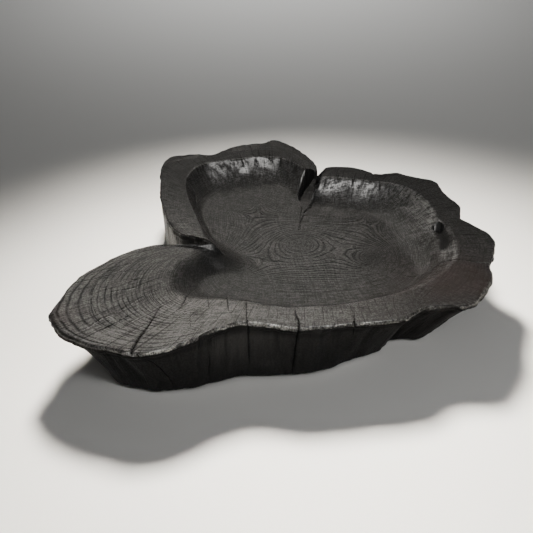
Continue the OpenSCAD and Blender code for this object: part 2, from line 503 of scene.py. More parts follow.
def hole_edge(outline):
    """The smooth edge of a hole, with its first point again at its end."""
    ring = closed_curve(outline, HOLE_STEPS)
    return np.vstack([ring, ring[:1]])


def inside_depth(outline, x, y):
    """Distance to a closed outline, above 0 inside it and below 0 outside."""
    closed = hole_edge(outline)
    away = nearest(closed, x, y)[2]
    crossings = np.zeros(np.shape(x), int)
    for (ax, ay), (bx, by) in zip(closed, closed[1:]):
        spans = (ay > y) != (by > y)
        level = ax + (y - ay) * (bx - ax) / (by - ay if by != ay else 1e-9)
        crossings += spans & (x < level)
    return np.where(crossings % 2 == 1, away, -away)


def hump(path, x, y, width):
    """1 on a path, fading over about its width to each side and towards its ends."""
    _, _, away, share = nearest(path, x, y)
    return bell(away, width) * smooth(share * 5) * smooth((1 - share) * 5)


def face_height(x, y):
    """Height of the carved face above the table at a place of the plan, in millimetres."""
    a, r = bearing(x, y), np.hypot(x, y)
    rim_r = rim_reach(a)
    lip_height, lip_size, lip_seed = LIP_UNEVEN
    lip_r = lip_reach(a) + lip_height * unevenness(x, y, lip_size, lip_seed)
    foot_r = lip_r - station(WALL_RUN, a)
    crest_z = TOP_Z - station(RIM_DROP, a)
    lip_z = crest_z - station(LIP_DROP, a)
    foot_z = FLOOR_Z + FLOOR_RISE
    floor = FLOOR_Z + FLOOR_RISE * (r / foot_r) ** 2
    t = np.clip((r - foot_r) / (lip_r - foot_r), 0, 1)
    sharp = station(LIP_SHARP, a, SHARP_SPREAD)
    climb = (1 - sharp) * smooth(t) + sharp * t**CRISP_POWER
    wall = foot_z + (lip_z - foot_z) * climb
    across = np.clip((r - lip_r) / (rim_r - EDGE_ROUND - lip_r), 0, 1)
    rim = lip_z + (crest_z - lip_z) * across
    turn = np.clip((r - rim_r + EDGE_ROUND) / EDGE_ROUND, 0, 1)
    rim = rim - EDGE_ROUND * (1 - np.sqrt(1 - turn**2))
    z = np.where(r < foot_r, floor, np.where(r < lip_r, wall, rim))
    carved = smooth((rim_r - r) / CARVED_MARGIN)
    for height, size, seed in FACE_UNEVEN:
        z = z + carved * height * unevenness(x, y, size, seed)
    z = z - CRESCENT_DEPTH * hump(CRESCENT, x, y, CRESCENT_WIDTH)
    z = z + RIDGE_HEIGHT * hump(RIDGE, x, y, RIDGE_WIDTH)
    z = z - SEPTUM_DIP * spot(x, y, SEPTUM, SEPTUM_REACH)
    px, py = PITHS[0][:2]
    for ledge in LEDGES:
        qx, qy, away, share = nearest(ledge, x, y)
        inner = np.hypot(x - px, y - py) < np.hypot(qx - px, qy - py)
        side = np.where(inner, away, -away)
        fade = smooth(share * 4) * smooth((1 - share) * 4) * bell(away, LEDGE_REACH)
        z = z - LEDGE_DROP * fade * smooth(side / LEDGE_EDGE + 0.5)
    return z


# The carver blended the face softly about here, beside the notch: x and y, the widest circle
# that is averaged, how far the blend spreads, and how far from the rim it stops.
SOFT = (-66.0, 12.0)
SOFT_CIRCLE, SOFT_REACH, SOFT_MARGIN = 20, 48, 26
SOFT_TURNS, SOFT_SHARES = 8, (0.5, 1.0)


def soft_height(x, y):
    """face_height averaged over a small circle near the notch, and left alone elsewhere."""
    circle = SOFT_CIRCLE * spot(x, y, SOFT, SOFT_REACH)
    circle = circle * smooth((rim_reach(bearing(x, y)) - np.hypot(x, y)) / SOFT_MARGIN)
    total = face_height(x, y)
    for turn in np.arange(SOFT_TURNS) * 360 / SOFT_TURNS:
        for share in SOFT_SHARES:
            dx, dy = polar(share * circle, turn)
            total = total + face_height(x + dx, y + dy)
    return total / (1 + SOFT_TURNS * len(SOFT_SHARES))


print("height at the middle", round(float(face_height(np.array([0.0]), np.array([0.0]))[0]), 1))

# %% [markdown]
# ## Drying checks
# A slice of trunk splits as it dries. The checks run along the rays, open towards the bark, and
# often carry on down the side. Each is a path with a half-width and a depth. A mesh fine enough
# to show them everywhere would be huge, so the grid is drawn in towards each path first: right
# at a check the spacing across it shrinks to under a tenth, and the groove is cut there.

# %% Paths of the checks
# Each path of a check runs outwards from its inner, thin end, in x and y.
FACE_CHECKS = [
    # half-width and depth in mm, then the path
    (0.45, 3.0, [[-138, -82], [-143, -94], [-149, -113], [-155, -138], [-162, -169],
                 [-173, -203], [-177, -222], [-184, -246]]),
    (0.9, 5.0, [[-161, -166], [-167, -184], [-173, -203], [-177, -222], [-184, -246]]),
    (0.45, 2.4, [[-106, -50], [-117, -74], [-121, -111], [-128, -142]]),
    (0.5, 2.4, [[-148, -79], [-165, -93], [-180, -107], [-191, -121], [-206, -143], [-226, -158],
                [-237, -175], [-256, -194]]),
    (0.45, 2.0, [[-158, -110], [-168, -121], [-177, -133], [-200, -160], [-209, -170],
                [-230, -193]]),
    (0.3, 1.6, [[-170, -142], [-176, -149], [-185, -162], [-198, -178]]),
    (0.3, 1.8, [[-94, -71], [-92, -98], [-90, -121], [-87, -147]]),
    (0.42, 2.2, [[-61, -35], [-67, -52], [-68, -75], [-66, -105], [-64, -133], [-61, -160]]),
    (0.3, 1.4, [[-112, -142], [-111, -165], [-108, -188]]),
    (0.42, 2.4, [[-41, -71], [-41, -105], [-40, -135], [-39, -169], [-39, -192]]),
    (0.8, 5.0, [[24, -138], [24, -155], [27, -170], [28, -200]]),
    (0.3, 1.8, [[-150, -2], [-161, 3], [-180, 9], [-196, 18]]),
    (0.3, 1.6, [[-128, -4], [-135, 9], [-149, 11], [-156, 24]]),
    (0.45, 2.2, [[-146, -40], [-159, -43], [-179, -48], [-199, -52], [-218, -54], [-236, -52]]),
    (0.3, 1.4, [[-100, -14], [-106, -14], [-120, -16], [-140, -17]]),
    (0.45, 2.2, [[-177, -74], [-183, -79], [-195, -88], [-211, -94], [-230, -103]]),
    (0.3, 1.4, [[-172, -64], [-184, -66], [-200, -70]]),
    (0.3, 1.6, [[-222, -48], [-228, -67], [-229, -86], [-226, -104]]),
    (0.3, 1.4, [[-248, -99], [-243, -119], [-237, -136], [-228, -156]]),
    (0.35, 2.2, [[99, -128], [99, -143], [98, -167], [96, -196]]),
    (0.7, 3.0, [[246, -29], [261, -33], [272, -38], [290, -41], [312, -46]]),
    (0.6, 2.8, [[156, -12], [171, -17], [184, -26], [196, -27], [208, -28], [219, -22], [228, -18],
                [235, -21], [241, -29], [250, -29], [261, -33]]),
    (0.3, 1.8, [[137, 166], [135, 179], [137, 190], [142, 204], [150, 226]]),
    (0.3, 1.2, [[160, 162], [159, 174], [161, 186]]),
    (0.3, 1.0, [[180, 154], [190, 158], [197, 164]]),
    (0.3, 1.0, [[206, 142], [213, 144], [220, 147]]),
    (0.3, 1.2, [[95, 186], [97, 196], [99, 206]]),
    (0.3, 1.0, [[73, 180], [76, 190], [79, 199]]),
    (0.3, 1.2, [[116, 176], [118, 186], [120, 198]]),
    (0.3, 1.4, [[-46, 236], [-50, 247], [-58, 260]]),
    (0.3, 1.4, [[-24, 236], [-27, 246], [-32, 260]]),
    (0.3, 1.8, [[-9, 238], [-9, 250], [-9, 266], [-9, 284]]),
    (0.3, 1.2, [[4, 240], [7, 248], [13, 260]]),
    (0.3, 1.0, [[-70, 234], [-71, 241], [-72, 250]]),
    (0.3, 1.5, [[22, 232], [27, 242], [33, 252]]),
    (0.42, 2.2, [[-121, 128], [-123, 143], [-122, 160], [-124, 176], [-133, 190]]),
    (0.3, 1.2, [[36, 62], [35, 84], [37, 104], [38, 124], [38, 140], [41, 156], [38, 160],
                [36, 178]]),
]
SIDE_CHECKS = [
    # half-width and depth in mm, then bearings in degrees and heights down the side
    (1.1, 5.0, [[233.2, 92], [234.5, 76], [235.9, 62], [236.9, 46], [237.8, 30], [238.6, 12]]),
    (0.8, 4.0, [[257.5, 92], [258.1, 62], [258.4, 41], [258.6, 22]]),
    (1.2, 6.0, [[278.5, 92], [277.5, 67], [276.6, 34], [275.6, 0]]),
    (0.9, 4.0, [[350.2, 92], [350.4, 70], [349.6, 52]]),
    (0.8, 4.0, [[299.0, 92], [299.4, 74], [300.2, 58]]),
    (0.9, 4.0, [[52.9, 92], [53.4, 66], [52.6, 40], [53.0, 22]]),
    (0.8, 4.0, [[91.8, 92], [92.3, 70], [91.4, 48]]),
    (1.0, 4.5, [[112.0, 80], [112.6, 56], [111.8, 30], [112.3, 2]]),
    (0.7, 3.5, [[141.0, 74], [141.6, 50], [140.8, 30]]),
    (0.9, 4.5, [[12.5, 78], [12.0, 50], [12.6, 22]]),
    (0.8, 4.0, [[30.5, 60], [30.0, 34], [30.4, 4]]),
    (0.8, 4.0, [[176.2, 92], [176.8, 64], [176.5, 40]]),
    (0.9, 4.5, [[203.0, 70], [203.8, 44], [203.2, 14]]),
    (0.7, 3.5, [[218.0, 80], [218.9, 60], [218.4, 44]]),
    (0.7, 3.0, [[246.0, 60], [246.4, 40], [246.1, 16]]),
    (0.7, 3.5, [[320.0, 70], [320.6, 46], [320.2, 26]]),
    (0.7, 3.5, [[77.5, 70], [77.9, 44], [77.5, 16]]),
]
DRAW_IN = 0.93
DRAW_REACH = 9.0
# How quickly a check widens from its inner end and closes at its outer one.
THIN_START, BLUNT_END = 1.8, 4.0
GROOVE_POWER = 0.8


def taper(share, blunt_start):
    """Full along the middle of a check, thinning to nothing at its ends."""
    start = 1.0 if blunt_start else smooth(share * THIN_START + 0.08)
    return start * smooth((1 - share) * BLUNT_END + 0.05)


def drawn_in(path, x, y):
    """Moves places near a path towards it, so that the grid is finer across the check."""
    qx, qy, away, share = nearest(path, x, y)
    pull = DRAW_IN * bell(away, DRAW_REACH) * smooth(share * 6 + 0.2)
    pull = pull * smooth((1 - share) * 6 + 0.2)
    return x + (qx - x) * pull, y + (qy - y) * pull


def groove(path, half_width, x, y, blunt_start=False):
    """1 on the path, 0 at half_width from it and beyond its ends: a V with a rounded top."""
    _, _, away, share = nearest(path, x, y)
    size = taper(share, blunt_start)
    reach = half_width * (0.35 + 0.65 * size) + 1e-6
    return size * np.clip(1 - away / reach, 0, 1) ** GROOVE_POWER


print(len(FACE_CHECKS), "checks in the face and", len(SIDE_CHECKS), "down the side")

# %% [markdown]
# ## The side
# Below the arris the side drops straight down for about a centimetre, then steps in a little and
# leans in to the base, more under the leaf's tip and the broad lobe than under the middle. The
# trunk's flutes show as long upright folds. A place on the side is a distance along the rim and
# a height, and each fold, like each check, is a path in those two.

# %% Places on the side
FOLDS = [
    # reach and height in mm, then bearings and heights: above 0 is a ridge, below 0 a hollow
    (9, 3.5, [[287.2, 84], [285.4, 56], [284.1, 43], [282.6, 4]]),
    (11, -5.0, [[292.5, 84], [290.5, 50], [289.0, 4]]),
    (8, 3.5, [[326.3, 84], [326.6, 64], [328.5, 38], [329.5, 4]]),
    (9, -6.0, [[321.5, 84], [322.0, 60], [323.5, 30], [324.0, 4]]),
    (12, -4.0, [[306.0, 80], [305.0, 50], [304.0, 4]]),
    (8, -3.0, [[268.0, 84], [267.0, 50], [266.0, 20]]),
    (14, 3.0, [[246.0, 70], [248.0, 40], [250.0, 4]]),
    (10, -3.0, [[228.0, 80], [230.0, 50], [231.5, 20]]),
    (10, -4.0, [[16.0, 84], [15.0, 44], [15.0, 4]]),
    (9, -4.0, [[45.0, 84], [44.0, 44], [45.0, 4]]),
    (10, -4.0, [[101.5, 84], [101.0, 50], [102.0, 4]]),
    (10, -3.0, [[127.0, 84], [128.0, 50], [127.0, 4]]),
    (12, -4.0, [[190.0, 70], [191.0, 44], [190.0, 4]]),
    (12, -3.0, [[210.0, 70], [209.0, 44], [211.0, 4]]),
    (8, -3.0, [[352.0, 84], [351.0, 54], [352.0, 24]]),
]
UNDERCUT_STEP = 3.4
LEAN_POWER = 0.85
# Half the distance along the rim over which its direction is read.
HALF_STEP = 1.5
# A check that starts this high comes over the arris from the face.
OVER_ARRIS = 90
# Unevenness of the side in mm: height, how much it is drawn out upright, size and seed.
SIDE_UNEVEN = [(1.8, 5, 34, 5), (0.6, 4, 11, 6), (0.3, 3, 4.5, 9)]
# Unevenness of the band below the arris, of the step's size and of the rim's edge: size, seed.
BAND_UNEVEN, STEP_UNEVEN, EDGE_UNEVEN = (6, 8), (23, 7), (8, 11)
BAND_RELIEF, EDGE_NIBBLE, OUTERMOST = 1.1, 1.3, 0.6


def side_path(points):
    """A path given in bearings and heights, as distances along the rim and heights."""
    return [[float(run_of(a)), z] for a, z in points]


def around_run(run, path):
    """Distances along the rim, shifted by a whole turn where that brings them near a path."""
    middle = np.mean([p[0] for p in path])
    return run - RIM_LENGTH * np.round((run - middle) / RIM_LENGTH)


def side_out(run, z, crest_z, drop):
    """Relief of the side, outwards in mm, and how deep in a check each place is, 0 to 1, which
    sets how much painted shade it gets.
    """
    turn = np.clip((BASE_Z + BASE_ROUND - z) / BASE_ROUND, 0, 1)
    out = -BASE_ROUND * (1 - np.sqrt(1 - turn**2))
    under_arris = crest_z - EDGE_ROUND - z
    below_band = smooth((under_arris + EDGE_ROUND - EDGE_BAND) / 3.0)
    ragged = 0.6 + 0.6 * unevenness(run, 0 * run, *STEP_UNEVEN)
    out = out - UNDERCUT_STEP * below_band * (1 - 0.6 * drop) * ragged
    on_band = smooth(under_arris / 3) * (1 - below_band)
    out = out + BAND_RELIEF * on_band * unevenness(run, z, *BAND_UNEVEN)
    nibbled = 1 + unevenness(run, 0 * run, *EDGE_UNEVEN)
    out = out - EDGE_NIBBLE * nibbled * (1 - 0.7 * drop)
    lower = smooth(under_arris / 10)
    for height, drawn_out, size, seed in SIDE_UNEVEN:
        out = out + lower * height * unevenness(run, z / drawn_out, size, seed)
    for reach, height, points in FOLDS:
        path = side_path(points)
        near = around_run(run, path)
        _, _, away, share = nearest(path, near, z)
        out = out + height * lower * bell(away, reach) * smooth((1 - share) * 3 + 0.3)
    recess_shade = np.zeros_like(out)
    for half_width, depth, points in SIDE_CHECKS:
        path = side_path(points)
        near = around_run(run, path)
        cut = groove(path, half_width, near, z, blunt_start=points[0][1] > OVER_ARRIS)
        out = out - depth * cut
        recess_shade = np.maximum(recess_shade, cut)
    return np.minimum(out, OUTERMOST), recess_shade


def side_place(run, z):
    """Plan position of the side at a distance along the rim and a height, and the painted shade of
    its checks.
    """
    for half_width, depth, points in SIDE_CHECKS:
        path = side_path(points)
        near = around_run(run, path)
        moved, _ = drawn_in(path, near, z)
        run = run + (moved - near)
    a = rim_at(run)
    crest_z = TOP_Z - station(RIM_DROP, a)
    drop = np.clip((crest_z - EDGE_BAND - z) / (crest_z - EDGE_BAND - BASE_Z - BASE_ROUND), 0, 1)
    r = rim_reach(a) - station(BASE_INSET, a, NARROW_SPREAD) * drop**LEAN_POWER
    out, recess_shade = side_out(run, z, crest_z, drop)
    ahead, behind = rim_at(run + HALF_STEP), rim_at(run - HALF_STEP)
    ahead_x, ahead_y = polar(rim_reach(ahead), ahead)
    behind_x, behind_y = polar(rim_reach(behind), behind)
    tx, ty = ahead_x - behind_x, ahead_y - behind_y
    size = np.hypot(tx, ty)
    x, y = polar(r, a)
    return x + out * ty / size, y - out * tx / size, recess_shade


print("side ready, with", len(FOLDS), "folds")

# %% [markdown]
# ## One closed skin
# The carved face is a set of rings round the carving centre. The middle is a single point, the
# first ring has eight and each ring has eight more than the one inside it, so the cells stay
# close to square from the middle to the rim. The rings follow the foot of the wall, the lip and
# the arris. The last ring carries on down the side in rows, and the base closes the skin.

# %% Rings of the face
FLOOR_RINGS, WALL_RINGS, RIM_RINGS, ROUND_RINGS = 40, 20, 60, 4
RINGS = FLOOR_RINGS + WALL_RINGS + RIM_RINGS + ROUND_RINGS
COLUMNS = 8 * RINGS
HOLE_DRAW_IN, HOLE_REACH = 0.6, 6.0
# The crescent and the thin wood by the cleft get the painted shade of a check, by these shares.
CRESCENT_SHADE, CRESCENT_SHADE_WIDTH, SEPTUM_SHADE = 0.7, 6.0, 1.2

ring_of = np.concatenate([[0]] + [np.full(8 * k, k) for k in range(1, RINGS + 1)])
turn_of = np.concatenate([[0.0]] + [np.arange(8 * k) / (8 * k) for k in range(1, RINGS + 1)])
blend = smooth(ring_of / RINGS)
even = rim_bearing[0] + 360 * turn_of
face_a = (1 - blend) * even + blend * rim_at(turn_of * RIM_LENGTH)
rim_r, lip_r = rim_reach(face_a), lip_reach(face_a)
foot_r = lip_r - station(WALL_RUN, face_a)
on_floor = ring_of / FLOOR_RINGS
on_wall = (ring_of - FLOOR_RINGS) / WALL_RINGS
on_rim = (ring_of - FLOOR_RINGS - WALL_RINGS) / RIM_RINGS
on_round = (ring_of - RINGS + ROUND_RINGS) / ROUND_RINGS
face_r = np.where(on_wall < 0, foot_r * on_floor, foot_r + (lip_r - foot_r) * on_wall)
face_r = np.where(on_rim > 0, lip_r + (rim_r - EDGE_ROUND - lip_r) * on_rim, face_r)
face_x, face_y = polar(face_r, face_a)

for half_width, depth, path in FACE_CHECKS:
    face_x, face_y = drawn_in(path, face_x, face_y)
for outline in (CLEFT, KNOT):
    qx, qy, away, share = nearest(hole_edge(outline), face_x, face_y)
    pull = HOLE_DRAW_IN * bell(away, HOLE_REACH)
    face_x, face_y = face_x + (qx - face_x) * pull, face_y + (qy - face_y) * pull
face_a = bearing(face_x, face_y)
bend = np.sin(np.radians(90 * np.clip(on_round, 0, 1)))
round_x, round_y = polar(rim_reach(face_a) - EDGE_ROUND * (1 - bend), face_a)
face_x = np.where(on_round >= 0, round_x, face_x)
face_y = np.where(on_round >= 0, round_y, face_y)

face_z = soft_height(face_x, face_y)
# How much painted shade each place gets: full in checks and holes, some in the crescent and by the
# cleft.
face_recess_shade = np.zeros_like(face_z)
for half_width, depth, path in FACE_CHECKS:
    cut = groove(path, half_width, face_x, face_y)
    face_z = face_z - depth * cut
    face_recess_shade = np.maximum(face_recess_shade, cut)
for outline, floor_z in ((CLEFT, CLEFT_FLOOR), (KNOT, KNOT_FLOOR)):
    inside = smooth(inside_depth(outline, face_x, face_y) / HOLE_EDGE)
    face_z = face_z + (floor_z - face_z) * inside
    face_recess_shade = np.maximum(face_recess_shade, inside)
septum = SEPTUM_SHADE * spot(face_x, face_y, SEPTUM, SEPTUM_REACH)
crescent = CRESCENT_SHADE * hump(CRESCENT, face_x, face_y, CRESCENT_SHADE_WIDTH)
face_recess_shade = np.clip(np.maximum(face_recess_shade, septum) + crescent, 0, 1)
print(len(face_z), "points on the face, lowest", round(float(face_z.min()), 1), "mm")

# %% Rows of the side
SIDE_ROWS, BAND_ROWS, TURN_ROWS, SETTLE_ROWS = 26, 6, 4, 8
BAND_DEPTH = EDGE_BAND - EDGE_ROUND + 3.0
LAST_UPRIGHT = SIDE_ROWS - TURN_ROWS
# How near the rim the face starts to follow the relief of the side.
EDGE_MARGIN = 7

edge = ring_of == RINGS
edge_run = run_of(bearing(face_x[edge], face_y[edge]))
edge_z = face_z[edge]
even_run = np.arange(COLUMNS) / COLUMNS * RIM_LENGTH
edge_run = even_run + (edge_run - even_run + RIM_LENGTH / 2) % RIM_LENGTH - RIM_LENGTH / 2
edge_x, edge_y, edge_recess_shade = side_place(edge_run, edge_z)
shift_x, shift_y = edge_x - face_x[edge], edge_y - face_y[edge]
near_edge = smooth(1 - (rim_reach(face_a) - np.hypot(face_x, face_y)) / EDGE_MARGIN)
turns = np.append(np.arange(COLUMNS), COLUMNS) / COLUMNS


def inwards(edge_values):
    """Values along the rim, read at the turn of every point of the face."""
    return np.interp(turn_of, turns, np.append(edge_values, edge_values[0]))


face_x = face_x + near_edge * inwards(shift_x)
face_y = face_y + near_edge * inwards(shift_y)
edge_cut = inwards(edge_recess_shade)
face_recess_shade = np.maximum(face_recess_shade, near_edge * edge_cut)

side_x, side_y, side_z, side_recess_shade, side_run = [], [], [], [], []
for row in range(1, SIDE_ROWS + 1):
    settle = smooth(row / SETTLE_ROWS)
    run = edge_run * (1 - settle) + even_run * settle
    if row <= BAND_ROWS:
        z = edge_z - BAND_DEPTH * row / BAND_ROWS
    elif row <= LAST_UPRIGHT:
        start, steps = edge_z - BAND_DEPTH, LAST_UPRIGHT - BAND_ROWS
        z = start + (BASE_Z + BASE_ROUND - start) * (row - BAND_ROWS) / steps
    else:
        lift = math.cos(math.radians(90 * (row - LAST_UPRIGHT) / TURN_ROWS))
        z = np.full(COLUMNS, BASE_Z + BASE_ROUND * (1 - math.sin(math.acos(lift))))
    x, y, recess_shade = side_place(run, z)
    side_x.append(x)
    side_y.append(y)
    side_z.append(z + 0 * x)
    side_recess_shade.append(recess_shade)
    side_run.append(run)
print(SIDE_ROWS, "rows on the side, base outline at", round(float(side_z[-1].min()), 2), "mm")

# %% Rings of the base
BASE_RINGS = 5
base_x, base_y = [side_x[-1]], [side_y[-1]]
for ring in range(1, BASE_RINGS + 1):
    share = (1 - ring / (BASE_RINGS + 1)) / (1 - (ring - 1) / (BASE_RINGS + 1))
    base_x.append(base_x[-1][::2] * share)
    base_y.append(base_y[-1][::2] * share)
base_counts = [len(x) for x in base_x]
print("base rings of", base_counts, "points and one in the middle")


# %% Cells between the rings and the rows
def face_cells():
    """Four-cornered cells between each ring and the next, facing up."""
    cells = []
    for k in range(RINGS):
        inner, outer = 1 + 4 * k * (k - 1), 1 + 4 * k * (k + 1)
        inner = 0 if k == 0 else inner
        inner_count, outer_count = max(8 * k, 1), 8 * (k + 1)
        corner = np.arange(4)
        a, b = corner * 2 * k, corner * (2 * k + 2)
        before, after = (b - 1) % outer_count, b + 1
        cell = [inner + a % inner_count, outer + before, outer + b, outer + after]
        cells.append(np.stack(cell, 1))
        if k:
            side, j = np.repeat(corner, 2 * k), np.tile(np.arange(2 * k), 4)
            a, b = side * 2 * k + j, side * (2 * k + 2) + j + 1
            cell = [inner + a, outer + b, outer + b + 1, inner + (a + 1) % inner_count]
            cells.append(np.stack(cell, 1))
    return np.concatenate(cells)


def side_cells(first, below):
    """Four-cornered cells between the face's last ring and the rows below it, facing out."""
    j = np.arange(COLUMNS)
    after = (j + 1) % COLUMNS
    tops = [first] + [below + row * COLUMNS for row in range(SIDE_ROWS - 1)]
    bottoms = [below + row * COLUMNS for row in range(SIDE_ROWS)]
    rows = [np.stack([t + j, b + j, b + after, t + after], 1) for t, b in zip(tops, bottoms)]
    return np.concatenate(rows)


def base_cells(outer, inner):
    """Three-cornered cells over the base, each ring with half the points of the last."""
    cells = []
    for count in base_counts[:-1]:
        j = np.arange(count // 2)
        after, a = (j + 1) % (count // 2), outer + 2 * j
        last = outer + (2 * j + 2) % count
        cells.append(np.stack([a, inner + j, a + 1], 1))
        cells.append(np.stack([a + 1, inner + j, inner + after], 1))
        cells.append(np.stack([a + 1, inner + after, last], 1))
        outer, inner = inner, inner + count // 2
    j = np.arange(base_counts[-1])
    cells.append(np.stack([outer + j, inner + 0 * j, outer + (j + 1) % base_counts[-1]], 1))
    return np.concatenate(cells)


def build(name, points, quads, triangles, node):
    """A smooth-shaded piece from points in metres and its cells, standing for a node."""
    mesh = bpy.data.meshes.new(name)
    mesh.from_pydata(points.tolist(), [], quads.tolist() + triangles.tolist())
    mesh.shade_smooth()
    piece = bpy.data.objects.new(name, mesh)
    bpy.context.scene.collection.objects.link(piece)
    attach(piece, "root")
    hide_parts(node)
    return piece


print("cell builders ready")

# %% [markdown]
# The points are put in metres by stretching the carving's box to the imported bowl's box, so the
# visual can't stand outside the box of the solid that it replaces.

# %% The bowl
face_z = np.minimum(face_z, TOP_Z)
all_x = np.concatenate([face_x] + side_x + base_x[1:] + [np.zeros(1)])
all_y = np.concatenate([face_y] + side_y + base_y[1:] + [np.zeros(1)])
base_total = sum(base_counts[1:]) + 1
all_z = np.concatenate([face_z] + side_z + [np.full(base_total, BASE_Z)])
mm = np.stack([all_x, all_y, all_z], 1)
low, high = mm.min(0), mm.max(0)
box_low, box_high = np.array(bowl_low), np.array(bowl_high)
points = box_low + (mm - low) / (high - low) * (box_high - box_low)
print("stretch from mm to metres", ((box_high - box_low) / (high - low)).round(6))

side_first = len(face_x)
base_first = side_first + SIDE_ROWS * COLUMNS
quads = np.concatenate([face_cells(), side_cells(side_first - COLUMNS, side_first)])
triangles = base_cells(base_first - COLUMNS, base_first)
bowl = build("bowl_wood", points, quads, triangles, "bowl")
print(len(points), "points,", 2 * len(quads) + len(triangles), "triangles")

# %% [markdown]
# ## The grain's own map
# The finish follows the wood: rays run out from the piths and rings run round them. So the map
# of the face is (how far round the piths, how far out through their rings), the map of the side
# is (distance along the rim, height), and the base keeps its plan. All are in millimetres. A
# bearing jumps by a whole turn somewhere, so inside each cell the bearings are unwound from its
# first corner.


# %% Map of the grain
def unwound(values, whole):
    """Each row's values shifted by whole turns to lie close to the row's first value."""
    return values - whole * np.round((values - values[:, :1]) / whole)


def grain_map(piece):
    """Lays the UV map: rays and rings on the face, run and height on the side, plan below."""
    n_face = len(face_cells())
    x, y = all_x[quads[:n_face]], all_y[quads[:n_face]]
    ray = 0
    for px, py, share, cut in PITHS:
        turn = (np.degrees(np.arctan2(y - py, x - px)) - cut) % 360
        ray = ray + share * unwound(turn, 360.0)
    ray = ray * RIM_LENGTH / 360
    ring = RING_SPAN * ring_share(x, y) ** RING_POWER
    runs = np.concatenate([edge_run] + side_run)
    rows = quads[n_face:].reshape(-1, 4) - (side_first - COLUMNS)
    run = unwound(runs[rows], RIM_LENGTH)
    height = all_z[quads[n_face:]]
    under = np.stack([all_x[triangles], all_y[triangles]], 2)
    face_part = np.stack([ray, ring], 2).reshape(-1, 2)
    side_part = np.stack([run, height], 2).reshape(-1, 2)
    layer = piece.data.uv_layers.new(name="grain")
    flat = np.concatenate([face_part, side_part, under.reshape(-1, 2)])
    layer.data.foreach_set("uv", flat.astype(np.float32).ravel())
    return flat


grain = grain_map(bowl)
print("grain map spans", grain.min(0).round(), "to", grain.max(0).round(), "mm")

# %% [markdown]
# ## Measures for the finish
# Nine numbers are kept on the vertices: how far down the side, how much painted shade a check,
# hole or crescent gets, how grey the char is worn, how much red-brown wood shows through, how far
# up the wall of the hollow, how dull the wax is, how far out on the rim, how strongly the arris
# carries painted highlights, and whether a place lies in the band under it, which is painted in
# shade.

# %% Measures on the vertices
# How far the char of the rim is rubbed back to grey, by bearing.
PALE = [
    [0, 0.22], [30, 0.04], [80, 0.02], [130, 0.02], [150, 0.26], [165, 0.56], [180, 0.72],
    [210, 0.64], [226, 0.95], [236, 1.0], [252, 1.0], [262, 0.85], [290, 0.72], [310, 0.6],
    [330, 0.45], [345, 0.3], [360, 0.22]
]
# In the hollow the char is worn the same all round.
PALE_INSIDE = 0.21
# How much painted highlight, and extra wax sheen, the arris carries, by bearing.
ARRIS = [
    [0, 0.1], [60, 0.0], [200, 0.0], [228, 0.05], [238, 0.9], [260, 1.0], [272, 0.4],
    [300, 0.3], [330, 0.2], [360, 0.1]
]
# How much wax the wall of the hollow holds, by bearing.
WAXED = [
    [0, 0.7], [15, 1.0], [120, 1.0], [150, 0.5], [168, 0.0], [225, 0.0], [250, 0.1],
    [330, 0.15], [348, 0.5], [360, 0.7]
]
# Spots of red-brown wood, and spots where the wax is dull: x, y, reach in mm and strength.
MAROON = [
    (252, -62, 34, 1.0), (218, -92, 30, 0.8), (272, -96, 26, 0.7), (150, -120, 60, 0.35),
    (200, -10, 60, 0.35), (-278, -152, 20, 0.6),
]
DULL = [
    (-72, 24, 40, 0.15), (238, 30, 20, 1.0), (-20, 150, 60, 0.25),
    (120, 20, 26, 0.5), (246, -72, 44, 0.5), (214, -104, 30, 0.35),
]
# Widths in mm: the change from hollow to rim, the wax's end past the lip, how far inside the rim
# the arris starts and how quickly it does.
RIM_CHANGE, WAX_END, ARRIS_START, ARRIS_CHANGE = 34, 4, 3.6, 1.2


def spotted(spots):
    """Sum of some spots at every point, never above 1."""
    total = sum(strength * spot(all_x, all_y, (x, y), reach) for x, y, reach, strength in spots)
    return np.clip(total, 0, 1)


all_a, all_r = bearing(all_x, all_y), np.hypot(all_x, all_y)
lip_all = lip_reach(all_a)
foot_all = lip_all - station(WALL_RUN, all_a)
rim_share = smooth((all_r - lip_all) / RIM_CHANGE + 0.8)
wall = smooth((all_r - foot_all) / (lip_all - foot_all)) ** 2
wall = wall * (1 - smooth((all_r - lip_all) / WAX_END))
wall = wall * station(WAXED, all_a)
wall[side_first:] = 0
# The band of side rows under the arris is painted in shade.
shaded_band_rows = np.zeros(SIDE_ROWS)
shaded_band_rows[:BAND_ROWS + 1] = 1.0
under_arris = np.zeros(len(all_x))
under_arris[side_first:base_first] = np.repeat(shaded_band_rows, COLUMNS)
arris = smooth((all_r - rim_reach(all_a) + ARRIS_START) / ARRIS_CHANGE)
arris = arris * station(ARRIS, all_a, NARROW_SPREAD)
arris[side_first + COLUMNS:] = 0
rows_down = np.repeat(np.clip(np.arange(1, SIDE_ROWS + 1) / 2, 0, 1), COLUMNS)
measures = {
    "down": np.concatenate([np.zeros(side_first), rows_down, np.ones(base_total)]),
    "recess_shade": np.concatenate([face_recess_shade] + side_recess_shade + [np.zeros(base_total)]),
    "pale": PALE_INSIDE + (station(PALE, all_a) - PALE_INSIDE) * rim_share,
    "maroon": spotted(MAROON),
    "wall": wall,
    "dull": spotted(DULL),
    "rim": rim_share,
    "arris": arris,
    "under": under_arris,
}
for name, values in measures.items():
    layer = bowl.data.attributes.new(name, "FLOAT", "POINT")
    layer.data.foreach_set("value", values.astype(np.float32))
print("measures kept:", {name: round(float(v.mean()), 3) for name, v in measures.items()})

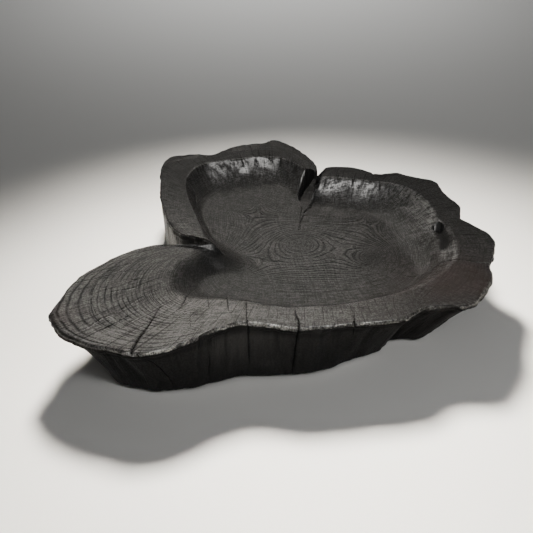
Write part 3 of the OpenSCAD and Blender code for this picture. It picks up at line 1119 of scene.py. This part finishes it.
# %% [markdown]
# ## Charred and waxed wood
# The char is nearly black. Where it has been rubbed back it is a warm grey-brown, most on the
# leaf and least on the far rims. Wax leaves a satin sheen that breaks up along the grain. Fine
# lines across the rings and along them make the small rectangular crackle of charred end grain.

# %% What the finish reads
# Colours in linear light: the char, the char rubbed back, wood that shows through, and the pale
# paint of the highlights on the arris.
CHAR = (0.0026, 0.0025, 0.0024, 1.0)
GREY = (0.0120, 0.0110, 0.0100, 1.0)
BROWN = (0.0100, 0.0056, 0.0048, 1.0)
HIGHLIGHT_PAINT = (0.42, 0.41, 0.385, 1.0)
# Distances between the yearly rings, their fine lines, the wide rays and the fine ones, in mm.
YEAR_GAP, FINE_YEAR_GAP, RAY_GAP, FINE_RAY_GAP = 8.2, 2.9, 15.0, 6.3
# Heights of the relief of the wood and of the felt, in metres.
WOOD_RELIEF, FELT_RELIEF = 0.0042, 0.0004

wood = Finish("charred_wood")
uv = wood.node("ShaderNodeUVMap", {"uv_map": "grain"})
along = wood.node("ShaderNodeSeparateXYZ", {}, {"Vector": uv}, "X")
through = wood.node("ShaderNodeSeparateXYZ", {}, {"Vector": uv}, "Y")
place = wood.node("ShaderNodeTexCoord", {}, {}, "Object")
down_side = wood.measure("down")
# Painted shade in checks, holes, the crescent and by the cleft.
in_recess_shade = wood.measure("recess_shade").step(0.06, 0.62)
worn = wood.measure("pale")
red = wood.measure("maroon")
on_wall = wood.measure("wall")
on_rim_face = wood.measure("rim")
on_arris = wood.measure("arris")
dull = wood.measure("dull")
# The band under the arris, painted in shade.
under = wood.measure("under")
on_face = 1.0 - down_side


def grain_noise(per_ray, per_ring, layer=0.0, detail=4.0, roughness=0.72):
    """Noise on the grain's map, with so many waves in a mm along each of its two directions."""
    stretched = wood.vector(along * per_ray, through * per_ring, layer)
    return wood.noise(stretched, 1.0, detail, roughness)


blotch = wood.noise(place, 9.0, 3.0)
fine = wood.noise(place, 420.0, 3.0, 0.6)
drift = wood.noise(place, 13.0) - 0.5
wiggle = wood.noise(place, 75.0) - 0.5
glint_breakup = grain_noise(0.11, 0.05, 3.0, 3.0, 0.6).step(0.34, 0.66)
ray_lines = grain_noise(0.30, 0.035)
ring_lines = grain_noise(0.03, 0.34)
upright = grain_noise(0.22, 0.03, roughness=0.6)
ring_breaks = grain_noise(0.035, 0.10, 5.0, 2.0, 0.5)
ray_breaks = grain_noise(0.10, 0.022, 9.0, 2.0, 0.5)
print("finish reads", len(measures), "measures, through", len(wood.tree.nodes), "nodes so far")


# %% Rings, rays and crackle
def thin_lines(phase, width):
    """1 on thin lines one whole phase apart, 0 between them."""
    return 1.0 - (phase.fraction() - 0.5).size().step(0.0, width)


loose = 1.0 - 0.7 * on_rim_face
year = thin_lines(through / YEAR_GAP + drift * 0.5 + wiggle * 0.2 * loose, 0.060)
year = year * ring_breaks.step(0.38, 0.52)
fine_year = thin_lines(through / FINE_YEAR_GAP + (drift * 2.2 + wiggle * 0.9) * loose, 0.25)
fine_year = fine_year * (0.45 + 0.55 * ring_breaks.step(0.40, 0.62))
ray = thin_lines(along / RAY_GAP + drift * 0.6, 0.060) * ray_breaks.step(0.42, 0.50)
fine_ray = thin_lines(along / FINE_RAY_GAP + drift * 1.6, 0.13) * ray_breaks.step(0.52, 0.66)
rings = (year * 0.9).above(fine_year * 0.8)
rays = (ray * 1.0).above(fine_ray * 0.8)
crackle = rings.above(rays * (0.3 + 0.7 * on_rim_face))
crackle = crackle * on_face * (0.95 + 0.15 * on_rim_face)
print("crackle of", YEAR_GAP, "mm rings and", RAY_GAP, "mm rays")

# %% Colour, roughness, relief and wax
ray_streak = ray_lines.step(0.36, 0.64)
ring_streak = ring_lines.step(0.38, 0.62)
ray_part = 0.50 - 0.05 * on_rim_face
streak = ray_streak * ray_part + ring_streak * (1.0 - ray_part)
streak = streak * on_face + upright * down_side
speckle = fine.step(0.42, 0.58)
amount = worn * on_face * (0.15 + 1.2 * streak) * (0.6 + 0.8 * blotch)
amount = amount + down_side * 0.13 * (0.5 + upright)
# Painted shade: darker in checks, holes and the crescent, and in the band under the arris.
amount = (amount - crackle * 0.6 - in_recess_shade * 1.2 - under * 0.5).clamp()
tone = wood.mix(amount, CHAR, GREY)
reddened = (red * (0.3 + 0.9 * ray_lines) * 0.75 * (1.0 - in_recess_shade)).clamp()
tone = wood.mix(reddened, tone, BROWN)
# Painted highlights: pale, chip-shaped marks along the arris stand in for the glints of the wax.
painted_highlight = (on_arris * glint_breakup * 1.6 * (0.3 + streak) * (0.4 + speckle)).clamp()
tone = wood.mix(painted_highlight, tone, HIGHLIGHT_PAINT)
rough = 0.74 - 0.30 * worn * on_face - 0.12 * down_side + 0.25 * crackle
rough = rough + 0.12 * (streak - 0.5) + 0.14 * (blotch - 0.5)
rough = (rough + 0.4 * in_recess_shade).clamp()

relief = ray_lines * 0.35 + ring_lines * 0.30 + fine * 0.16 - crackle * 0.9
relief = relief * on_face + down_side * (upright * 0.6 + fine * 0.06)
wood.set(Base_Color=tone, Roughness=rough, Normal=wood.bump(relief, 1.0, WOOD_RELIEF))
coat = 0.07 + 0.66 * worn * on_face + 1.3 * on_wall * glint_breakup + 0.06 * down_side
coat = coat * (2.1 * streak) * (0.50 + 1.0 * speckle) + 0.9 * on_arris * streak
coat = coat * (1.0 - 0.95 * crackle) * (1.0 - in_recess_shade)
coat = (coat * (1.0 - 0.9 * under) * (1.0 - 0.9 * dull)).clamp()
wood.set(IOR=1.2, Coat_Weight=coat, Coat_IOR=1.5, Coat_Roughness=0.31)
bowl.data.materials.append(wood.data)
print("wood finish has", len(wood.tree.nodes), "nodes")

# %% [markdown]
# ## Felt pads
# Five felt discs keep the base off the table. Felt has no edge: its rim is rounded by the fibres
# that stand out of it, so each disc is a turned outline, made uneven by less than the thickness
# of a fibre bundle.

# %% Pads
PAD_TURN, PAD_STEPS = 96, 10
PAD_CORNER, PAD_FUZZ, FUZZ_SEED = 0.8, 0.18, 12


def pad_piece(node):
    """A felt disc inside the node's box: radius and height from a rounded outline, plus fuzz."""
    corner_low, corner_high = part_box(node)
    centre = [(lo + hi) / 2 * 1000 for lo, hi in zip(corner_low, corner_high)]
    radius = (corner_high.x - corner_low.x) * 500
    bottom, top = corner_low.z * 1000, corner_high.z * 1000
    flat = np.linspace(0.12, 0.92, PAD_STEPS) * radius
    bend = np.radians(np.linspace(-80, 80, PAD_STEPS))
    edge_r = radius - PAD_CORNER + PAD_CORNER * np.cos(bend)
    profile_r = np.concatenate([flat, edge_r, flat[::-1]])
    half = (top - bottom) / 2
    middle = bottom + half + half * 0.97 * np.sin(bend)
    profile_z = np.concatenate([np.full(PAD_STEPS, bottom), middle, np.full(PAD_STEPS, top)])
    turn = np.radians(np.arange(PAD_TURN) * 360 / PAD_TURN)
    fuzz = unevenness(np.degrees(turn)[None, :] / 4, profile_z[:, None] * 3, 1.0, FUZZ_SEED)
    on_edge = (profile_r > radius * 0.93)[:, None]
    r = profile_r[:, None] - on_edge * PAD_FUZZ * (fuzz + 1) / 2
    x, y = centre[0] + r * np.cos(turn), centre[1] + r * np.sin(turn)
    z = profile_z[:, None] + 0 * turn
    rows = len(profile_r)
    ring = np.stack([x, y, z], 2).reshape(-1, 3)
    poles = np.array([[centre[0], centre[1], bottom], [centre[0], centre[1], top]])
    pad_points = np.vstack([ring, poles]) / 1000
    i, j = np.meshgrid(np.arange(rows - 1), np.arange(PAD_TURN), indexing="ij")
    after = (j + 1) % PAD_TURN
    a, b = i * PAD_TURN + j, i * PAD_TURN + after
    cells = np.stack([a, b, b + PAD_TURN, a + PAD_TURN], 2).reshape(-1, 4)
    j = np.arange(PAD_TURN)
    after, last = (j + 1) % PAD_TURN, (rows - 1) * PAD_TURN
    lower = np.stack([0 * j + rows * PAD_TURN, after, j], 1)
    upper = np.stack([0 * j + rows * PAD_TURN + 1, last + j, last + after], 1)
    caps = np.concatenate([lower, upper])
    return build(node + "_disc", pad_points, cells, caps, node)


felt = Finish("felt")
felt_place = felt.node("ShaderNodeTexCoord", {}, {}, "Object")
fibres = felt.noise(felt_place, 900.0, 4.0, 0.7, 1.5)
felt_tone = felt.mix(fibres, (0.018, 0.017, 0.016, 1.0), (0.055, 0.050, 0.046, 1.0))
felt.set(Base_Color=felt_tone, Roughness=0.95, Normal=felt.bump(fibres, 0.8, FELT_RELIEF))
pads = [pad_piece(node) for node in sorted(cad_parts) if node.startswith("felt_pad")]
for pad in pads:
    pad.data.materials.append(felt.data)
print(len(pads), "felt pads")

# %% [markdown]
# ## Floor and light
# The bowl stands on a plain pale floor. One soft lamp hangs above it and a little behind, so the
# shadows fall forwards under the leaf and the broad lobe, and the waxed rims catch it. A lamp's
# light on a surface and its mirror image in the wax are two things to the renderer, so the lamp
# is made twice, once for each, and each gets its own strength. A weak light from the front fills
# the far walls, a wide one from the front shows only in the wax, and one lights the backdrop.

# %% Floor and lights
floor_mesh = bpy.data.meshes.new("floor")
floor_mesh.from_pydata([(-3, -3, 0), (3, -3, 0), (3, 4, 0), (-3, 4, 0)], [], [(0, 1, 2, 3)])
floor_piece = bpy.data.objects.new("floor", floor_mesh)
bpy.context.scene.collection.objects.link(floor_piece)
ground = Finish("floor")
ground.set(Base_Color=(0.90, 0.88, 0.84, 1.0), Roughness=0.9, Specular_IOR_Level=0.2)
floor_mesh.materials.append(ground.data)

LAMP, AIM = (-0.158, 0.861, 0.90), (0.18, -0.90, 0.0)
WARM, NEUTRAL, COOL = (1.0, 0.955, 0.885), (1.0, 0.985, 0.955), (0.97, 0.985, 1.0)
LIGHTS = [
    # name, place, aim, size, spread in degrees, power, colour, on surfaces, in the wax
    ("main", LAMP, AIM, 0.24, 70, 28.0, WARM, True, False),
    ("glare", LAMP, AIM, 0.24, 72, 8.2, WARM, False, True),
    ("fill", (0.80, -1.05, 1.15), (0.0, 0.0, 0.0), 0.45, 150, 4.5, COOL, True, False),
    ("front_glare", (0.15, -1.20, 1.60), (0.0, 0.1, 0.0), 1.6, 170, 125.0, NEUTRAL, False, True),
    ("backdrop", (0.0, 1.60, 1.2), (0.0, 1.45, 0.0), 0.8, 80, 3.2, COOL, True, False),
]
SKY, SKY_STRENGTH = (0.98, 1.0, 1.0, 1.0), 0.06


def soft_light(name, place, aim, size, spread, power, colour, diffuse, glossy):
    """A square light at a place, turned to its aim, its beam so many degrees wide."""
    light = bpy.data.objects.new(name, bpy.data.lights.new(name, "AREA"))
    light.data.size = size
    light.data.spread = math.radians(spread)
    light.data.energy = power
    light.data.color = colour
    light.location = place
    light.visible_diffuse = diffuse
    light.visible_glossy = glossy
    light.rotation_euler = (Vector(place) - Vector(aim)).to_track_quat("Z", "Y").to_euler()
    bpy.context.scene.collection.objects.link(light)


for light_settings in LIGHTS:
    soft_light(*light_settings)
world = bpy.data.worlds.new("studio")
world.use_nodes = True
background = world.node_tree.nodes["Background"]
background.inputs["Color"].default_value = SKY
background.inputs["Strength"].default_value = SKY_STRENGTH
bpy.context.scene.world = world
print("floor and", len(LIGHTS), "lights in place")
